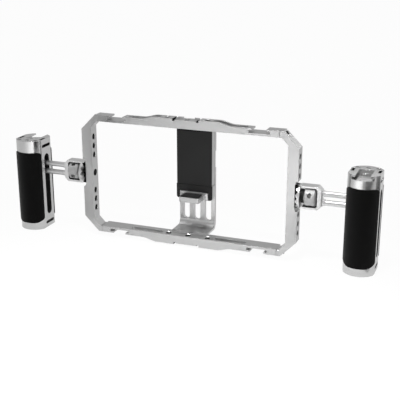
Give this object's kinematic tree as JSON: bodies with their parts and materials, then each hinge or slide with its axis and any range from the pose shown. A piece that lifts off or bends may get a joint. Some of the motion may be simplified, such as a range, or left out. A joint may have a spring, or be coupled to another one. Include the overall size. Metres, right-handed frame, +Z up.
{
  "type": "smartphone video rig",
  "caption": "Ring-shaped phone cage with a sprung phone clamp, toothed arms locked by capstan screws and two height-adjustable rubber-gripped handles with accessory shoes.",
  "frame": {"origin": "middle of the bounding box's bottom, on the table under the handles", "axes": "+X along the rig to the user's right seen from the front, +Y towards the back where the phone plate is, +Z up"},
  "size_m": [0.3416, 0.0461, 0.1179],
  "materials": {
    "satin_aluminium": "bead-blasted, clear-anodised silver",
    "screw_steel": "turned, nickel-plated",
    "black_moulding": "fine matt moulding",
    "grip_rubber": "matt moulded rubber"
  },
  "bodies": {
    "cage": {"left_side_bracket": "satin_aluminium", "right_side_bracket": "satin_aluminium", "top_bar": "satin_aluminium", "bottom_bar": "satin_aluminium", "corner_screws": "screw_steel", "left_tooth_ring": "screw_steel", "right_tooth_ring": "screw_steel", "phone_plate": "satin_aluminium", "plate_screws": "screw_steel", "clamp_housing": "satin_aluminium", "housing_cover": "black_moulding", "housing_screws": "screw_steel", "clamp_springs": "screw_steel", "upper_jaw_pad": "grip_rubber"},
    "carriage": {"clamp_carriage": "satin_aluminium", "carriage_cover": "black_moulding", "guide_rods": "screw_steel", "lower_jaw": "satin_aluminium", "jaw_screws": "screw_steel", "lower_jaw_pad": "grip_rubber"},
    "left_arm": {"left_arm": "satin_aluminium", "left_rod_block": "satin_aluminium", "left_block_screws": "screw_steel"},
    "left_washer": {"left_lock_washer": "black_moulding"},
    "left_lock_screw": {"left_lock_screw": "screw_steel"},
    "left_handle": {"left_handle_body": "satin_aluminium", "left_front_grip": "grip_rubber", "left_back_grip": "grip_rubber"},
    "right_arm": {"right_arm": "satin_aluminium", "right_rod_block": "satin_aluminium", "right_block_screws": "screw_steel"},
    "right_washer": {"right_lock_washer": "black_moulding"},
    "right_lock_screw": {"right_lock_screw": "screw_steel"},
    "right_handle": {"right_handle_body": "satin_aluminium", "right_front_grip": "grip_rubber", "right_back_grip": "grip_rubber"}
  },
  "joints": [
    {"name": "jaw_slide", "type": "slide", "parent": "cage", "child": "carriage", "axis": [0, 0, 1], "range_m": [-0.021, 0], "stiffness_N_per_m": 250, "springref_m": 0.02, "deforming": ["clamp_springs"]},
    {"name": "left_swing", "type": "hinge", "parent": "left_washer", "child": "left_arm", "pos_m": [-0.102, -0.00555, 0.0595], "axis": [-1, 0, 0], "continuous": true},
    {"name": "left_lock_travel", "type": "slide", "parent": "cage", "child": "left_washer", "axis": [-1, 0, 0], "range_m": [0, 0.00254]},
    {"name": "left_lock_turn", "type": "hinge", "parent": "left_washer", "child": "left_lock_screw", "pos_m": [-0.1115, -0.00555, 0.0595], "axis": [-1, 0, 0], "range_deg": [0, 720]},
    {"name": "left_handle_height", "type": "slide", "parent": "left_arm", "child": "left_handle", "axis": [0, 0, 1], "range_m": [-0.004, 0.038]},
    {"name": "right_swing", "type": "hinge", "parent": "right_washer", "child": "right_arm", "pos_m": [0.102, -0.00555, 0.0595], "axis": [1, 0, 0], "continuous": true},
    {"name": "right_lock_travel", "type": "slide", "parent": "cage", "child": "right_washer", "axis": [1, 0, 0], "range_m": [0, 0.00254]},
    {"name": "right_lock_turn", "type": "hinge", "parent": "right_washer", "child": "right_lock_screw", "pos_m": [0.1115, -0.00555, 0.0595], "axis": [1, 0, 0], "range_deg": [0, 720]},
    {"name": "right_handle_height", "type": "slide", "parent": "right_arm", "child": "right_handle", "axis": [0, 0, 1], "range_m": [-0.004, 0.038]}
  ],
  "couplings": [
    {"joint": "left_lock_turn", "follows": "left_lock_travel", "rad_per_m": 4947.4},
    {"joint": "right_lock_turn", "follows": "right_lock_travel", "rad_per_m": 4947.4}
  ]
}
